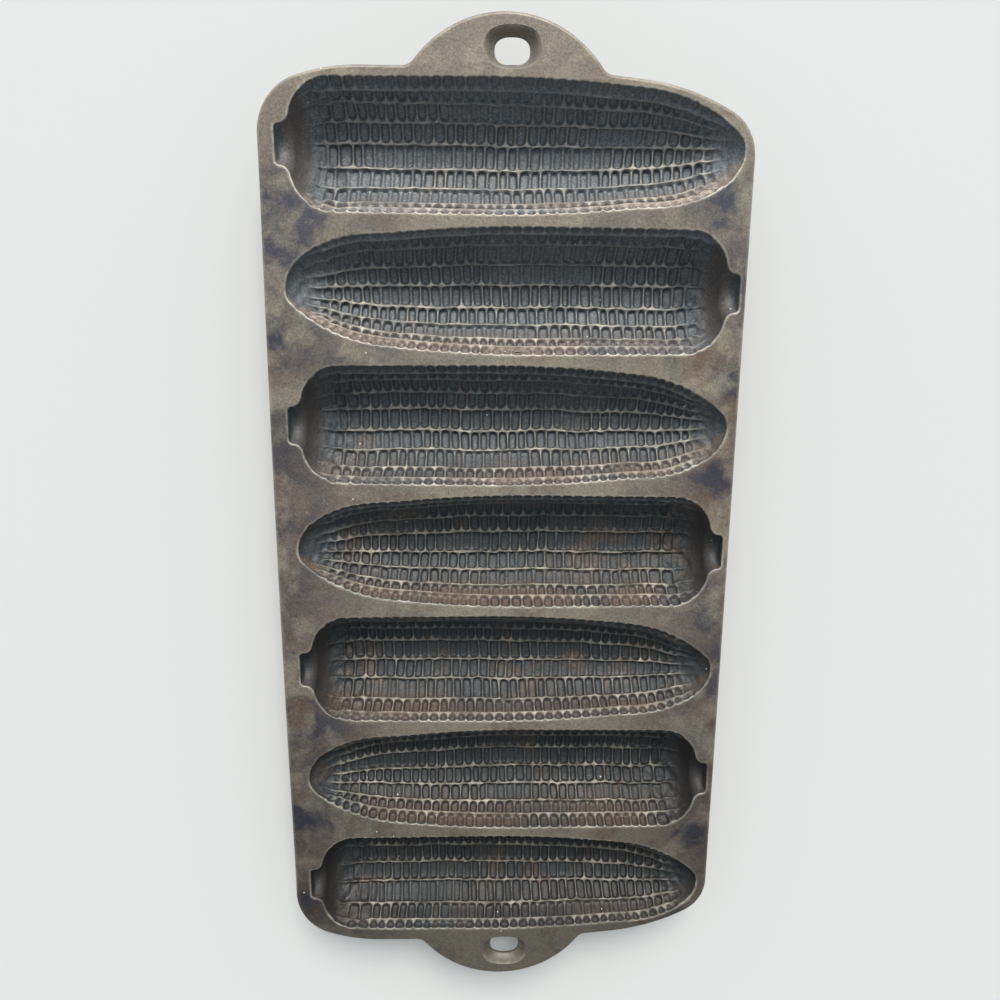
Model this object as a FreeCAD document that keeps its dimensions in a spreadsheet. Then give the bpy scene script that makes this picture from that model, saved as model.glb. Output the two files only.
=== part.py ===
import FreeCAD, Part
import math
import os
import re

import Sketcher
from FreeCAD import Placement, Rotation, Vector

# A seven-ear corn stick pan in cast iron, in millimetres.
#
# The pan lies cavities up. +Z is up, Z = 0 is the surface it stands on, the ears run along X and
# follow each other along Y. The origin is under the middle of the deck.
#
# The real pan is one casting. It is divided here where its shape changes:
#   deck_plate                the flat plate between and around the ears
#   ear_cup_1 ... ear_cup_7   the ear-shaped cups, each with its rim, cavity wall and rounded back
#   upper_lug, lower_lug      the half-round end lugs with their dished hanging slots
# Ears 1, 3, 5 and 7 point their tip to +X; ears 2, 4 and 6 are turned round.

EAR_COUNT = 7
END_STEPS = (EAR_COUNT - 1) // 2  # pitches from the middle ear to an end ear

DIMENSIONS = [
    # whole pan
    ("pan_height", 22.0, "deck face above the table"),
    ("deck_thickness", 4.0, "plate between the ears"),
    ("edge_round", 1.1, "rounding of the plate's upper outer edge"),
    ("edge_break", 0.5, "rounding of the plate's lower outer edge"),
    # row of ears
    ("ear_pitch", 42.0, "ear to ear along Y"),
    ("ear_shift", 1.6, "the ears sit off the deck's middle, towards +X"),
    # one ear, seen from above; stations count along its axis from the ear's own middle
    ("stub_reach", 71.4, "end of the stem stub, behind the middle"),
    ("stub_radius", 6.1, "half width of the stem stub"),
    ("stub_blend", 2.5, "hollow corner between stub and shoulder"),
    ("shoulder_station", 55.3, "centre of the shoulder, behind the middle"),
    ("shoulder_radius", 11.9, "round shoulder at the stem end"),
    ("belly_rise", 0.4, "the sides open by this much from shoulder to belly"),
    ("belly_station", 10.0, "widest place, behind the middle"),
    ("belly_radius", 19.15, "half width there"),
    ("flank_radius", 420.0, "long curve from the belly to the taper"),
    ("taper_station", 40.0, "where the tip starts to close, ahead of the middle"),
    ("nose_reach", 70.2, "end of the tip, ahead of the middle"),
    ("nose_radius", 5.2, "roundness of the tip"),
    # section through one ear
    ("axis_lift", 0.6, "the ear's axis runs this far above the deck face"),
    ("lip_width", 1.0, "rim of the cup, level with the deck"),
    ("cup_wall", 3.45, "wall behind the cavity"),
    ("end_wall", 1.6, "wall behind the cavity's two ends"),
    ("back_blend", 3.0, "hollow corner on the back between stub and shoulder"),
    # deck outline
    ("end_land", 3.4, "deck outside the end ears and past the tips on the +X side"),
    ("left_edge", 75.2, "deck edge on the -X side, from the middle"),
    ("corner_radius", 17.0, "stem side corners, tight part"),
    ("corner_easing", 60.0, "stem side corners, slow part"),
    ("corner_station", 44.4, "where the slow part of the corner starts, from the middle"),
    # end lugs
    ("lug_radius", 36.0, "round outline of each lug"),
    ("lug_reach", 163.2, "end of the lug from the middle of the pan"),
    ("lug_shift", 0.9, "the lugs sit off the deck's middle, towards -X"),
    ("lug_fillet", 7.0, "hollow corner between lug and deck"),
    ("lug_root", 147.2, "where a lug meets the deck"),
    ("lug_root_width", 80.0, "stretch of the deck's edge that a lug grows from"),
    # hanging slots
    ("slot_station", 153.2, "slot centre from the middle of the pan"),
    ("slot_shift", 1.1, "slot centre off the deck's middle, towards +X"),
    ("slot_length", 10.6, "through opening, along X"),
    ("slot_width", 7.2, "through opening, along Y"),
    ("mouth_length", 16.6, "dished mouth, along X"),
    ("mouth_width", 11.4, "dished mouth, along Y"),
    ("dish_depth", 3.2, "depth of the dished mouth"),
]
SIZE = {alias: value for alias, value, _ in DIMENSIONS}
UNDERSIDE = "pan_height - deck_thickness"
EAR_AXIS = "pan_height + axis_lift"
NEAR = 1e-4

doc = FreeCAD.newDocument("corn_stick_pan")
sheet = doc.addObject("Spreadsheet::Sheet", "Dims")
for row, (alias, value, note) in enumerate(DIMENSIONS, start=1):
    sheet.set(f"A{row}", alias)
    sheet.set(f"B{row}", str(value))
    sheet.set(f"C{row}", note)
    sheet.setAlias(f"B{row}", alias)
doc.recompute()


def dims(formula):
    """The formula with the sheet's name before each of its dimensions."""
    return re.sub(r"[a-z_]+", lambda word: f"Dims.{word[0]}", formula)


def bind(thing, place, formula):
    thing.setExpression(place, dims(formula))


def new_body(name):
    body = doc.addObject("PartDesign::Body", name)
    body.Label = name
    return body


def origin_part(body, role):
    return next(item for item in body.Origin.OriginFeatures if item.Role == role)


def new_sketch(body, name, plane, at=None, turn=None):
    """A sketch on one of the body's planes, moved by distances bound to the sheet."""
    sketch = body.newObject("Sketcher::SketchObject", name)
    sketch.AttachmentSupport = (origin_part(body, plane), [""])
    sketch.MapMode = "FlatFace"
    if turn:
        sketch.AttachmentOffset = Placement(Vector(), turn)
    for direction, formula in (at or {}).items():
        bind(sketch, f"AttachmentOffset.Base.{direction}", formula)
    return sketch


class Outline:
    """A closed chain of lines and arcs, whose sizes are bound to the sheet."""

    def __init__(self, sketch):
        self.sketch = sketch
        self.links = []

    def line(self, start, end):
        shape = Part.LineSegment(Vector(*start, 0), Vector(*end, 0))
        return self.add(shape, 1, 2)

    def arc(self, centre, radius, start_deg, end_deg):
        low, high = sorted((start_deg, end_deg))
        circle = Part.Circle(Vector(*centre, 0), Vector(0, 0, 1), radius)
        shape = Part.ArcOfCircle(circle, math.radians(low), math.radians(high))
        first, last = (1, 2) if start_deg < end_deg else (2, 1)
        return self.add(shape, first, last)

    def add(self, shape, first, last):
        self.links.append((self.sketch.addGeometry(shape), first, last))
        return self.links[-1][0]

    def join(self, corners):
        """Joins each link to the next: at a corner where it is in corners, else smoothly."""
        for index, (geometry, _, last) in enumerate(self.links):
            following, first, _ = self.links[(index + 1) % len(self.links)]
            kind = "Coincident" if geometry in corners else "Tangent"
            self.rule(kind, geometry, last, following, first)

    def rule(self, *words):
        return self.sketch.addConstraint(Sketcher.Constraint(*words))

    def measure(self, formula, guess, *words):
        index = self.rule(*words, guess)
        bind(self.sketch, f"Constraints[{index}]", formula)

    def left_of_origin(self, formula, guess, geometry, point):
        self.measure(formula, guess, "DistanceX", geometry, point, -1, 1)

    def right_of_origin(self, formula, guess, geometry, point):
        self.measure(formula, guess, "DistanceX", -1, 1, geometry, point)

    def below_origin(self, formula, guess, geometry, point):
        self.measure(formula, guess, "DistanceY", geometry, point, -1, 1)

    def above_origin(self, formula, guess, geometry, point):
        self.measure(formula, guess, "DistanceY", -1, 1, geometry, point)


def taper_circle(joint, turn, nose, nose_radius):
    """Centre and radius of the arc that leaves joint at this turn and closes on the nose."""
    inward = (-math.sin(turn), math.cos(turn))
    reach = (nose[0] - joint[0], nose[1] - joint[1])
    along = reach[0] * inward[0] + reach[1] * inward[1]
    radius = (reach[0] ** 2 + reach[1] ** 2 - nose_radius**2) / (2 * (along - nose_radius))
    return (joint[0] + radius * inward[0], joint[1] + radius * inward[1]), radius


def ear_profile(sketch, wall="", ends="", blend="stub_blend"):
    """Half of an ear's outline, hanging from its axis, grown by a wall at its side and ends."""
    side_growth, end_growth = SIZE.get(wall, 0.0), SIZE.get(ends, 0.0)
    plus_wall = f" + {wall}" if wall else ""
    plus_ends = f" + {ends}" if ends else ""
    stub_x = -SIZE["stub_reach"] - end_growth
    stub_y = -SIZE["stub_radius"] - side_growth
    belly_x = -SIZE["belly_station"]
    belly_y = -SIZE["belly_radius"] - side_growth
    shoulder_x = -SIZE["shoulder_station"]
    shoulder_r = SIZE["shoulder_radius"] + side_growth
    shoulder_y = belly_y + SIZE["belly_rise"] + shoulder_r
    blend_r = SIZE[blend]
    blend_y = stub_y - blend_r
    blend_x = shoulder_x - math.sqrt((shoulder_r + blend_r) ** 2 - (blend_y - shoulder_y) ** 2)
    meet = math.degrees(math.atan2(shoulder_y - blend_y, shoulder_x - blend_x))
    opening = math.degrees(math.atan2(SIZE["belly_rise"], belly_x - shoulder_x))
    flank_r = SIZE["flank_radius"] + side_growth
    flank_x = belly_x + flank_r * math.sin(math.radians(opening))
    flank_y = belly_y + flank_r * math.cos(math.radians(opening))
    turn = math.asin((SIZE["taper_station"] - flank_x) / flank_r)
    joint = (SIZE["taper_station"], flank_y - flank_r * math.cos(turn))
    nose_r = SIZE["nose_radius"] + side_growth
    nose_x = SIZE["nose_reach"] + end_growth - nose_r
    taper_centre, taper_r = taper_circle(joint, turn, (nose_x, 0.0), nose_r)
    closing = 360.0 + math.degrees(math.atan2(-taper_centre[1], nose_x - taper_centre[0]))

    chain = Outline(sketch)
    end_face = chain.line((stub_x, 0.0), (stub_x, stub_y))
    stub_side = chain.line((stub_x, stub_y), (blend_x, stub_y))
    hollow = chain.arc((blend_x, blend_y), blend_r, 90.0, meet)
    shoulder = chain.arc((shoulder_x, shoulder_y), shoulder_r, 180.0 + meet, 270.0 - opening)
    side = chain.line((shoulder_x, shoulder_y - shoulder_r), (belly_x, belly_y))
    flank = chain.arc((flank_x, flank_y), flank_r, 270.0 - opening, 270.0 + math.degrees(turn))
    taper = chain.arc(taper_centre, taper_r, 270.0 + math.degrees(turn), closing)
    nose = chain.arc((nose_x, 0.0), nose_r, closing, 360.0)
    axis = chain.line((nose_x + nose_r, 0.0), (stub_x, 0.0))
    chain.join({end_face, nose, axis})

    chain.rule("Vertical", end_face)
    chain.rule("Horizontal", stub_side)
    chain.rule("PointOnObject", axis, 1, -1)
    chain.rule("PointOnObject", axis, 2, -1)
    chain.rule("PointOnObject", nose, 3, -1)
    chain.left_of_origin("stub_reach" + plus_ends, -stub_x, end_face, 1)
    chain.below_origin("stub_radius" + plus_wall, -stub_y, stub_side, 1)
    chain.measure(blend, blend_r, "Radius", hollow)
    chain.left_of_origin("shoulder_station", -shoulder_x, shoulder, 3)
    chain.measure("shoulder_radius" + plus_wall, shoulder_r, "Radius", shoulder)
    chain.measure("belly_rise", SIZE["belly_rise"], "DistanceY", side, 2, side, 1)
    chain.left_of_origin("belly_station", -belly_x, side, 2)
    chain.below_origin("belly_radius" + plus_wall, -belly_y, side, 2)
    chain.measure("flank_radius" + plus_wall, flank_r, "Radius", flank)
    chain.right_of_origin("taper_station", SIZE["taper_station"], taper, 1)
    chain.right_of_origin("nose_reach" + plus_ends, nose_x + nose_r, axis, 1)
    chain.measure("nose_radius" + plus_wall, nose_r, "Radius", nose)


def deck_outline(sketch):
    """Half of the deck's outline, on the +Y side; past the tips it runs beside the end ear."""
    middle_y = END_STEPS * SIZE["ear_pitch"]
    top_y = middle_y + SIZE["belly_radius"] + SIZE["end_land"]
    left_x = -SIZE["left_edge"]
    tight_r, slow_r = SIZE["corner_radius"], SIZE["corner_easing"]
    slow_x, slow_y = -SIZE["corner_station"], top_y - slow_r
    tight_x = left_x + tight_r
    tight_y = slow_y + math.sqrt((slow_r - tight_r) ** 2 - (tight_x - slow_x) ** 2)
    ease = math.degrees(math.atan2(tight_y - slow_y, tight_x - slow_x))
    belly_x = SIZE["ear_shift"] - SIZE["belly_station"]
    flank_r = SIZE["flank_radius"] + SIZE["end_land"]
    joint_x = SIZE["ear_shift"] + SIZE["taper_station"]
    turn = math.asin((joint_x - belly_x) / flank_r)
    joint_y = top_y - flank_r * (1 - math.cos(turn))
    nose_r = SIZE["nose_radius"] + SIZE["end_land"]
    nose_x = SIZE["ear_shift"] + SIZE["nose_reach"] - SIZE["nose_radius"]
    below, taper_r = taper_circle((joint_x, -joint_y), turn, (nose_x, -middle_y), nose_r)
    taper_x, taper_y = below[0], -below[1]
    closing = math.degrees(math.atan2(middle_y - taper_y, nose_x - taper_x))

    chain = Outline(sketch)
    left = chain.line((left_x, 0.0), (left_x, tight_y))
    tight = chain.arc((tight_x, tight_y), tight_r, 180.0, ease)
    slow = chain.arc((slow_x, slow_y), slow_r, ease, 90.0)
    top = chain.line((slow_x, top_y), (belly_x, top_y))
    flank = chain.arc((belly_x, top_y - flank_r), flank_r, 90.0, 90.0 - math.degrees(turn))
    taper = chain.arc((taper_x, taper_y), taper_r, 90.0 - math.degrees(turn), closing)
    nose = chain.arc((nose_x, middle_y), nose_r, closing, 0.0)
    right = chain.line((nose_x + nose_r, middle_y), (nose_x + nose_r, 0.0))
    base = chain.line((nose_x + nose_r, 0.0), (left_x, 0.0))
    chain.join({right, base})

    chain.rule("Vertical", left)
    chain.rule("Horizontal", top)
    chain.rule("Vertical", right)
    chain.rule("PointOnObject", base, 1, -1)
    chain.rule("PointOnObject", base, 2, -1)
    chain.left_of_origin("left_edge", -left_x, left, 1)
    chain.measure("corner_radius", tight_r, "Radius", tight)
    chain.measure("corner_easing", slow_r, "Radius", slow)
    chain.left_of_origin("corner_station", -slow_x, slow, 3)
    chain.above_origin(f"{END_STEPS} * ear_pitch + belly_radius + end_land", top_y, top, 1)
    chain.left_of_origin("belly_station - ear_shift", -belly_x, top, 2)
    chain.measure("flank_radius + end_land", flank_r, "Radius", flank)
    chain.right_of_origin("ear_shift + taper_station", joint_x, taper, 2)
    chain.right_of_origin("ear_shift + nose_reach - nose_radius", nose_x, nose, 3)
    chain.above_origin(f"{END_STEPS} * ear_pitch", middle_y, nose, 3)
    chain.measure("nose_radius + end_land", nose_r, "Radius", nose)


def slot_outline(sketch, length, width):
    """A slot with round ends, along the sketch's X axis and centred on its origin."""
    radius = SIZE[width] / 2
    half = SIZE[length] / 2 - radius
    chain = Outline(sketch)
    upper = chain.line((half, radius), (-half, radius))
    chain.arc((-half, 0.0), radius, 90.0, 270.0)
    lower = chain.line((-half, -radius), (half, -radius))
    right = chain.arc((half, 0.0), radius, -90.0, 90.0)
    chain.join(set())
    chain.rule("Horizontal", upper)
    chain.rule("Horizontal", lower)
    chain.rule("Symmetric", upper, 1, lower, 1, -1, 1)
    chain.measure(f"{width} / 2", radius, "Radius", right)
    chain.right_of_origin(f"{length} / 2 - {width} / 2", half, right, 3)


def lug_outline(sketch):
    """One circle for each lug; most of it lies inside the deck."""
    chain = Outline(sketch)
    radius, shift = SIZE["lug_radius"], SIZE["lug_shift"]
    centre = SIZE["lug_reach"] - radius
    for sign, along_y in ((1, chain.above_origin), (-1, chain.below_origin)):
        circle = Part.Circle(Vector(-shift, sign * centre, 0), Vector(0, 0, 1), radius)
        ring = sketch.addGeometry(circle)
        chain.measure("lug_radius", radius, "Radius", ring)
        chain.left_of_origin("lug_shift", shift, ring, 3)
        along_y("lug_reach - lug_radius", centre, ring, 3)


def trim(body, name, plane, at, depth, reverse):
    """Cuts away everything for some depth beyond a plane, with a square wider than the pan."""
    sketch = new_sketch(body, f"{name}_plane", plane, at)
    wide = SIZE["lug_reach"]
    corners = [(-wide, -wide), (wide, -wide), (wide, wide), (-wide, wide)]
    chain = Outline(sketch)
    sides = [chain.line(start, end) for start, end in zip(corners, corners[1:] + corners[:1])]
    chain.join(set(sides))
    for side, kind in zip(sides, ("Horizontal", "Vertical", "Horizontal", "Vertical")):
        chain.rule(kind, side)
    cut = body.newObject("PartDesign::Pocket", name)
    cut.Profile = sketch
    cut.Reversed = reverse
    bind(cut, "Length", depth)


def pad(body, name, sketch, thickness):
    feature = body.newObject("PartDesign::Pad", name)
    feature.Profile = sketch
    bind(feature, "Length", thickness)
    return feature


def turned(body, kind, name, sketch):
    """The sketch turned through half a circle about its own X axis, below that axis."""
    feature = body.newObject(kind, name)
    feature.Profile = sketch
    feature.ReferenceAxis = (sketch, ["H_Axis"])
    feature.Angle = 180.0
    feature.Midplane = True
    return feature


def round_edges(body, name, base, wanted, radius):
    """Rounds every edge of the base whose bounding box is wanted."""
    doc.recompute()
    edges = [f"Edge{i}" for i, edge in enumerate(base.Shape.Edges, start=1) if wanted(edge.BoundBox)]
    fillet = body.newObject("PartDesign::Fillet", name)
    fillet.Base = (base, edges)
    bind(fillet, "Radius", radius)
    doc.recompute()
    return fillet


def lies_at(level):
    return lambda box: abs(box.ZMin - level) < NEAR and abs(box.ZMax - level) < NEAR


def is_lug_corner(box):
    """The upright edges where the round lugs leave the deck's long edge."""
    upright = box.ZLength > NEAR and max(box.XLength, box.YLength) < NEAR
    beside_lug = abs(box.Center.x) < SIZE["lug_root_width"] / 2
    at_deck_edge = abs(box.Center.y) > SIZE["lug_root"] - SIZE["end_land"]
    return upright and beside_lug and at_deck_edge


def cut_hanging_slot(body, name, station):
    """A dished slot: a mouth that narrows to a throat, and the throat cut through."""
    sections = []
    for part, level, length, width in (
        ("mouth", "pan_height", "mouth_length", "mouth_width"),
        ("throat", "pan_height - dish_depth", "slot_length", "slot_width"),
    ):
        place = {"x": "slot_shift", "y": station, "z": level}
        sketch = new_sketch(body, f"{name}_{part}", "XY_Plane", place)
        slot_outline(sketch, length, width)
        sections.append(sketch)
    dish = body.newObject("PartDesign::SubtractiveLoft", f"{name}_dish")
    dish.Profile = sections[0]
    dish.Sections = [sections[1]]
    through = body.newObject("PartDesign::Pocket", f"{name}_slot")
    through.Profile = sections[1]
    bind(through, "Length", "deck_thickness")


def cut_ear_openings(body, name, first_step, turn, count):
    """Every second ear's opening, from the one nearest the upper lug downwards."""
    place = {"x": "ear_shift", "y": EAR_AXIS, "z": f"-{first_step} * ear_pitch"}
    profile = new_sketch(body, f"{name}_opening", "XZ_Plane", place, turn)
    ear_profile(profile, "lip_width", "lip_width")
    opening = turned(body, "PartDesign::Groove", f"{name}_ear", profile)
    row = body.newObject("PartDesign::LinearPattern", f"{name}_ears")
    row.Originals = [opening]
    row.Direction = (origin_part(body, "Y_Axis"), [""])
    row.Reversed = True
    row.Occurrences = count
    bind(row, "Length", f"{2 * (count - 1)} * ear_pitch")
    body.Tip = row


def make_plate():
    """The whole flat plate: deck and both lugs, with the ear openings and hanging slots."""
    body = new_body("plate")
    outline = new_sketch(body, "deck_edge", "XY_Plane", {"z": UNDERSIDE})
    deck_outline(outline)
    half = pad(body, "half_deck", outline, "deck_thickness")
    whole = body.newObject("PartDesign::Mirrored", "whole_deck")
    whole.Originals = [half]
    whole.MirrorPlane = (origin_part(body, "XZ_Plane"), [""])
    body.Tip = whole

    rounds = new_sketch(body, "lug_rounds", "XY_Plane", {"z": UNDERSIDE})
    lug_outline(rounds)
    lugs = pad(body, "lugs", rounds, "deck_thickness")
    top, bottom = SIZE["pan_height"], SIZE["pan_height"] - SIZE["deck_thickness"]
    corners = round_edges(body, "lug_corners", lugs, is_lug_corner, "lug_fillet")
    upper = round_edges(body, "upper_edge", corners, lies_at(top), "edge_round")
    round_edges(body, "lower_edge", upper, lies_at(bottom), "edge_break")

    cut_hanging_slot(body, "upper", "slot_station")
    cut_hanging_slot(body, "lower", "-slot_station")
    turn = Rotation(Vector(0, 1, 0), 180.0)
    cut_ear_openings(body, "forward", END_STEPS, None, (EAR_COUNT + 1) // 2)
    cut_ear_openings(body, "turned", END_STEPS - 1, turn, EAR_COUNT // 2)
    doc.recompute()
    return body


def lug_space(name, front):
    """The block of space that one lug takes out of the plate."""
    box = doc.addObject("Part::Box", name)
    bind(box, "Length", "lug_root_width")
    bind(box, "Width", "lug_reach - lug_root + deck_thickness")
    bind(box, "Height", "pan_height + deck_thickness")
    bind(box, "Placement.Base.x", "-lug_shift - lug_root_width / 2")
    bind(box, "Placement.Base.y", front)
    return box


def make_deck_and_lugs(plate):
    """Divides the plate: each lug is what lies in its block of space, the deck is the rest."""
    spaces = {
        "upper_lug": lug_space("upper_space", "lug_root"),
        "lower_lug": lug_space("lower_space", "-lug_reach - deck_thickness"),
    }
    lugs = []
    for name, space in spaces.items():
        lug = doc.addObject("Part::Common", name)
        lug.Base, lug.Tool = plate, space
        lugs.append(lug)
    both = doc.addObject("Part::MultiFuse", "lug_spaces")
    both.Shapes = list(spaces.values())
    deck = doc.addObject("Part::Cut", "deck_plate")
    deck.Base, deck.Tool = plate, both
    return [deck, *lugs]


def make_cup(number):
    """One ear cup: rounded back, thin rim up to the deck face, and the cavity for the bread."""
    body = new_body(f"ear_cup_{number}")

    back = new_sketch(body, "back_profile", "XZ_Plane", {"y": EAR_AXIS})
    ear_profile(back, "cup_wall", "end_wall", "back_blend")
    turned(body, "PartDesign::Revolution", "back", back)
    trim(body, "under_deck", "XY_Plane", {"z": UNDERSIDE}, "deck_thickness + axis_lift", True)
    trim(body, "near_neighbour", "XZ_Plane", {"z": "ear_pitch / 2"}, "cup_wall", True)
    trim(body, "far_neighbour", "XZ_Plane", {"z": "-ear_pitch / 2"}, "cup_wall", False)

    rim = new_sketch(body, "rim_profile", "XZ_Plane", {"y": EAR_AXIS})
    ear_profile(rim, "lip_width", "lip_width")
    turned(body, "PartDesign::Revolution", "rim", rim)
    trim(body, "deck_face", "XY_Plane", {"z": "pan_height"}, "deck_thickness", True)
    cavity = new_sketch(body, "cavity_profile", "XZ_Plane", {"y": EAR_AXIS})
    ear_profile(cavity)
    turned(body, "PartDesign::Groove", "cavity", cavity)

    half_turns = (number + 1) % 2
    body.Placement = Placement(Vector(), Rotation(Vector(0, 0, 1), 180.0 * half_turns))
    bind(body, "Placement.Base.x", "ear_shift")
    bind(body, "Placement.Base.y", f"{END_STEPS + 1 - number} * ear_pitch")
    return body


def check(parts):
    for item in doc.Objects:
        if "Invalid" in item.State or "Error" in item.State:
            raise RuntimeError(f"{item.Name} did not build: {item.State}")
    for part in parts:
        shape = part.Shape
        if shape.isNull() or not shape.isValid() or len(shape.Solids) != 1:
            raise RuntimeError(f"{part.Label} is not one sound solid")


parts = make_deck_and_lugs(make_plate())
parts += [make_cup(number) for number in range(1, EAR_COUNT + 1)]
doc.recompute()
check(parts)

os.makedirs("parts", exist_ok=True)
for part in parts:
    part.Shape.exportStep(os.path.join("parts", f"{part.Label}.step"))
    print(f"{part.Label:12s} {part.Shape.Volume / 1000:7.2f} cm3")
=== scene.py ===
# %% [markdown]
# # A cast iron corn stick pan
#
# The pan is one iron casting: a flat deck, seven ear-shaped moulds laid head to tail, and a half-round
# lug with a hanging slot at each end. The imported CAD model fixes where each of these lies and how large
# it is. This lesson models their surfaces: the rows of kernels inside every ear, the rims, the rounded
# backs, the deck's soft edges, and the worn, seasoned iron.

import math

import bmesh
import bpy
import numpy as np
from mathutils import Matrix, Vector


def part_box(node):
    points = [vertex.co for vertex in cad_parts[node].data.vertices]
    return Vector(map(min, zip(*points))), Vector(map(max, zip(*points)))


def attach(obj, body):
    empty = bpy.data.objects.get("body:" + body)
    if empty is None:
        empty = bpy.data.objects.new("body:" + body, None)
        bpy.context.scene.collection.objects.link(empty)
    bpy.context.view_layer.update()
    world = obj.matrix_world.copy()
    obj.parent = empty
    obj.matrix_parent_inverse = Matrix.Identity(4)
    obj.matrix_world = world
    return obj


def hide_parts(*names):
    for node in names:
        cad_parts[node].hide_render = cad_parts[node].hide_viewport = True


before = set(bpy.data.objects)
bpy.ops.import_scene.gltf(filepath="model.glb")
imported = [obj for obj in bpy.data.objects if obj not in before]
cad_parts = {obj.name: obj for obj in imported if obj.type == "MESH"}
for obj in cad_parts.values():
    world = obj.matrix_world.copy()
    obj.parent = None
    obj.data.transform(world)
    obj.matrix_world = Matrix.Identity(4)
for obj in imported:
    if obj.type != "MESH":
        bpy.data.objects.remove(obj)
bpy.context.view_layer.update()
mm = 0.001

# %% [markdown]
# ## The camera
#
# The pan lies on a table and is seen from above, from a little past its upper end. The seven ears are
# evenly spaced, so the way they shrink down the picture gives the camera's height, tilt and lens. The
# lens is short for such a near view, which is why the lower end looks so much smaller.

# %% Camera
camera = bpy.data.objects.new("camera", bpy.data.cameras.new("camera"))
camera.data.sensor_width = 36.0
camera.data.lens = 27.04
camera.data.clip_start = 0.01
camera.location = Vector((-7.03, 67.79, 263.89)) * mm
camera.rotation_euler = [math.radians(turn) for turn in (-11.684, -1.180, 0.400)]
bpy.context.scene.collection.objects.link(camera)
bpy.context.scene.camera = camera
print("the camera is", round(camera.location.z / mm), "mm above the table")

# %% [markdown]
# ## Table and light
#
# A pale table takes the pan's soft shadow. The light is a bright window beyond the upper end: a sun lamp
# with a wide angle, which is equally strong along the whole pan and casts soft shadows. The room is
# brighter on the window's side too. Iron shows its relief by what it reflects, so that brighter side
# matters as much as the lamp.


# %% Table and light
TABLE_COLOUR, TABLE_HALF, TABLE_Z = (0.665, 0.662, 0.660), 3.0, -0.02 * mm
WINDOW_PLACE, WINDOW_ANGLE, WINDOW_COLOUR = (0.15, 1.50, 1.35), 26.0, (1.0, 0.955, 0.885)
ROOM_COLOUR, DARK_SIDE, BRIGHT_SIDE = (0.86, 0.95, 1.0), 0.37, 2.0


def stage_plane(name, half, height, colour):
    """A flat square of matt paint."""
    bm = bmesh.new()
    bmesh.ops.create_grid(bm, x_segments=1, y_segments=1, size=half)
    bmesh.ops.translate(bm, verts=bm.verts, vec=(0.0, 0.0, height))
    mesh = bpy.data.meshes.new(name)
    bm.to_mesh(mesh)
    bm.free()
    plane = bpy.data.objects.new(name, mesh)
    material = bpy.data.materials.new(name)
    material.use_nodes = True
    surface = material.node_tree.nodes["Principled BSDF"]
    surface.inputs["Base Color"].default_value = (*colour, 1.0)
    surface.inputs["Roughness"].default_value = 0.7
    surface.inputs["Specular IOR Level"].default_value = 0.2
    mesh.materials.append(material)
    bpy.context.scene.collection.objects.link(plane)


stage_plane("table", TABLE_HALF, TABLE_Z, TABLE_COLOUR)

lamp = bpy.data.lights.new("window", "SUN")
lamp.angle = math.radians(WINDOW_ANGLE)
lamp.energy = 2.95
lamp.color = WINDOW_COLOUR
window = bpy.data.objects.new("window", lamp)
window.location = WINDOW_PLACE
window.rotation_euler = (-window.location).to_track_quat("-Z", "Y").to_euler()
bpy.context.scene.collection.objects.link(window)

world = bpy.data.worlds.new("room")
bpy.context.scene.world = world
world.use_nodes = True
room = world.node_tree
direction = room.nodes.new("ShaderNodeTexCoord")
split = room.nodes.new("ShaderNodeSeparateXYZ")
towards = room.nodes.new("ShaderNodeMapRange")
towards.interpolation_type = "SMOOTHSTEP"
for end, value in (("From Min", 0.1), ("From Max", 0.95), ("To Min", DARK_SIDE), ("To Max", BRIGHT_SIDE)):
    towards.inputs[end].default_value = value
room.links.new(direction.outputs["Generated"], split.inputs[0])
room.links.new(split.outputs["Y"], towards.inputs["Value"])
room.links.new(towards.outputs["Result"], room.nodes["Background"].inputs["Strength"])
room.nodes["Background"].inputs["Color"].default_value = (*ROOM_COLOUR, 1.0)
bpy.context.scene.view_settings.view_transform = "Standard"
print("the room's brightness runs from", DARK_SIDE, "to", BRIGHT_SIDE, "towards the window")

# %% [markdown]
# ## Soft steps and smooth noise
#
# Two helpers shape nearly everything. A soft step rises from 0 to 1 without a corner, so a form can
# start and end gently. Smooth noise blends between random values on a coarse grid, which gives a slow
# wander or small bumps. The values come from seeded generators, so every run makes the same pan.


# %% Soft steps and noise
def soft_step(low, high, value):
    """Rises from 0 at low to 1 at high, and is flat at both ends."""
    share = np.clip((value - low) / (high - low), 0.0, 1.0)
    return share * share * (3.0 - 2.0 * share)


def between(rise, fall, value):
    """1 between a soft rise and a soft fall, 0 outside them. Each is a (start, end)."""
    return soft_step(*rise, value) * (1 - soft_step(*fall, value))


def noise(rng, size, x, y):
    """Smooth noise from -1 to 1, whose bumps are about this size."""
    x, y = x / size, y / size
    x, y = x - x.min(), y - y.min()
    table = rng.uniform(-1.0, 1.0, (int(x.max()) + 2, int(y.max()) + 2))
    i, j = x.astype(int), y.astype(int)
    u, v = soft_step(0.0, 1.0, x - i), soft_step(0.0, 1.0, y - j)
    near = table[i, j] * (1 - v) + table[i, j + 1] * v
    far = table[i + 1, j] * (1 - v) + table[i + 1, j + 1] * v
    return near * (1 - u) + far * u


print("a soft step a quarter of the way:", soft_step(0.0, 4.0, 1.0))

# %% [markdown]
# ## One ear, seen from above
#
# Half of an ear's outline is a chain of straight lines and arcs: the square stub where the cob was
# broken off, a hollow corner, the round shoulder, the long nearly straight side, the taper and the
# blunt tip. The cavity is this line turned about the ear's axis, which runs just above the deck. The
# back of the cup is the same line, grown by the wall. An ear's own frame has its stem at -X and its tip
# at +X, and is in mm.
#
# A real ear isn't quite even: towards the tip one side is fuller, so a bulge is added to that side.


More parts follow.
